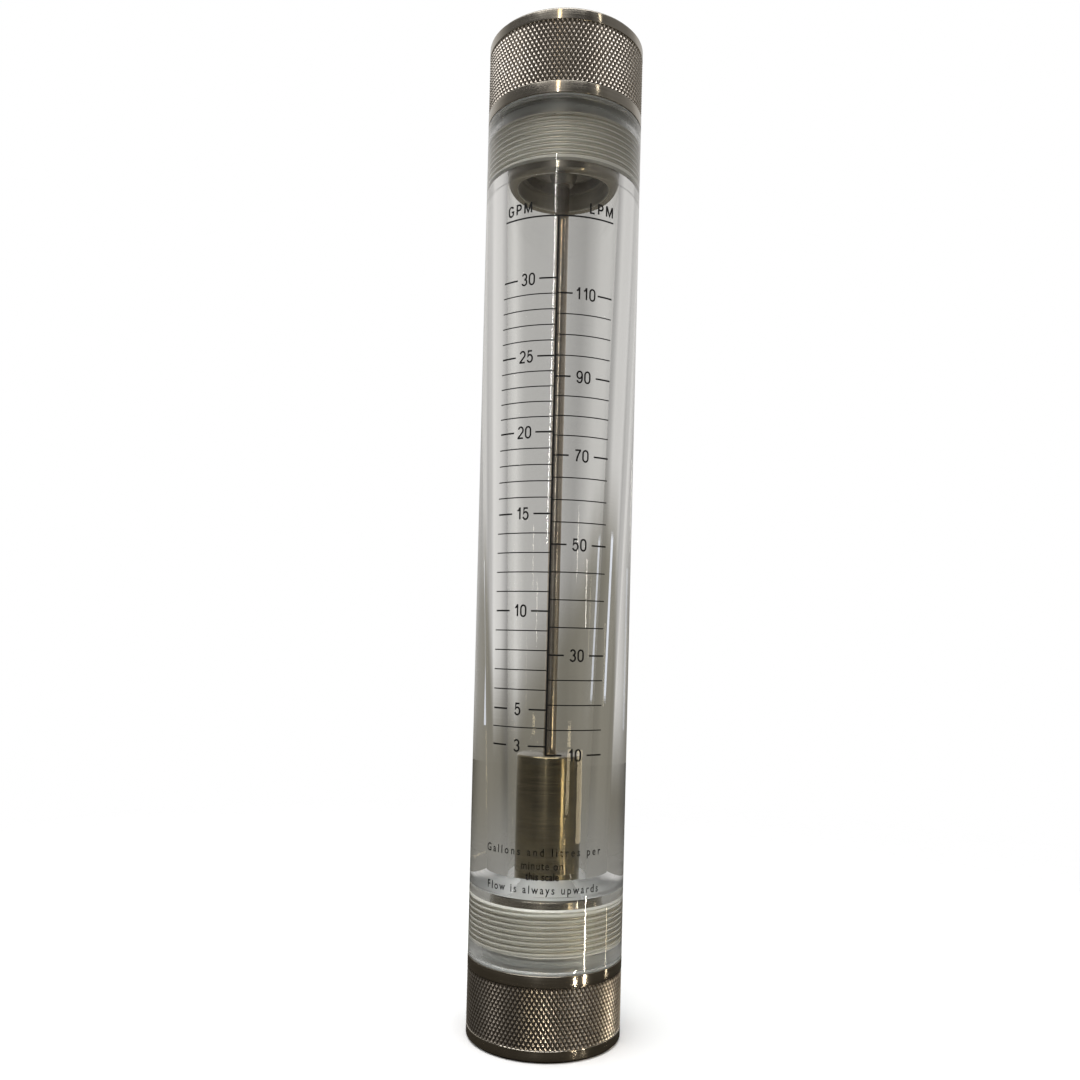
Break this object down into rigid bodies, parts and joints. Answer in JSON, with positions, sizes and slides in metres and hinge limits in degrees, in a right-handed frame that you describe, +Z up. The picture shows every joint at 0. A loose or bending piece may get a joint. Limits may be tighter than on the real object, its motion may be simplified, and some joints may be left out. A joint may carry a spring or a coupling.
{
  "type": "rotameter",
  "caption": "In-line rotameter: clear acrylic tube with a tapered bore, steel float sliding on a central rod, knurled steel end fittings with pipe-threaded ports.",
  "frame": {"origin": "centre of the lower end fitting's outer face, which the meter stands on", "axes": "+Z up the meter's axis, the way the liquid flows; the printed scale faces -Y; +X is to the reader's right"},
  "size_m": [0.06, 0.06, 0.385],
  "materials": {
    "acrylic": "polished clear",
    "turned_steel": "turned, with a diamond knurl",
    "cast_steel": "cast and turned",
    "drawn_steel": "drawn and polished",
    "fastener_steel": "bright",
    "float_steel": "fine turned",
    "seal": "translucent satin"
  },
  "bodies": {
    "meter": {"metering_tube": "acrylic", "lower_end_fitting": "turned_steel", "upper_end_fitting": "turned_steel", "lower_seal_ring": "seal", "upper_seal_ring": "seal", "lower_rod_guide": "cast_steel", "upper_rod_guide": "cast_steel", "guide_rod": "drawn_steel", "lower_lock_washer": "fastener_steel", "upper_lock_washer": "fastener_steel", "lower_rod_nut": "fastener_steel", "upper_rod_nut": "fastener_steel"},
    "float": {"metering_float": "float_steel"}
  },
  "joints": [
    {"name": "float_slide", "type": "slide", "parent": "meter", "child": "float", "axis": [0, 0, 1], "range_m": [0, 0.2215]}
  ]
}
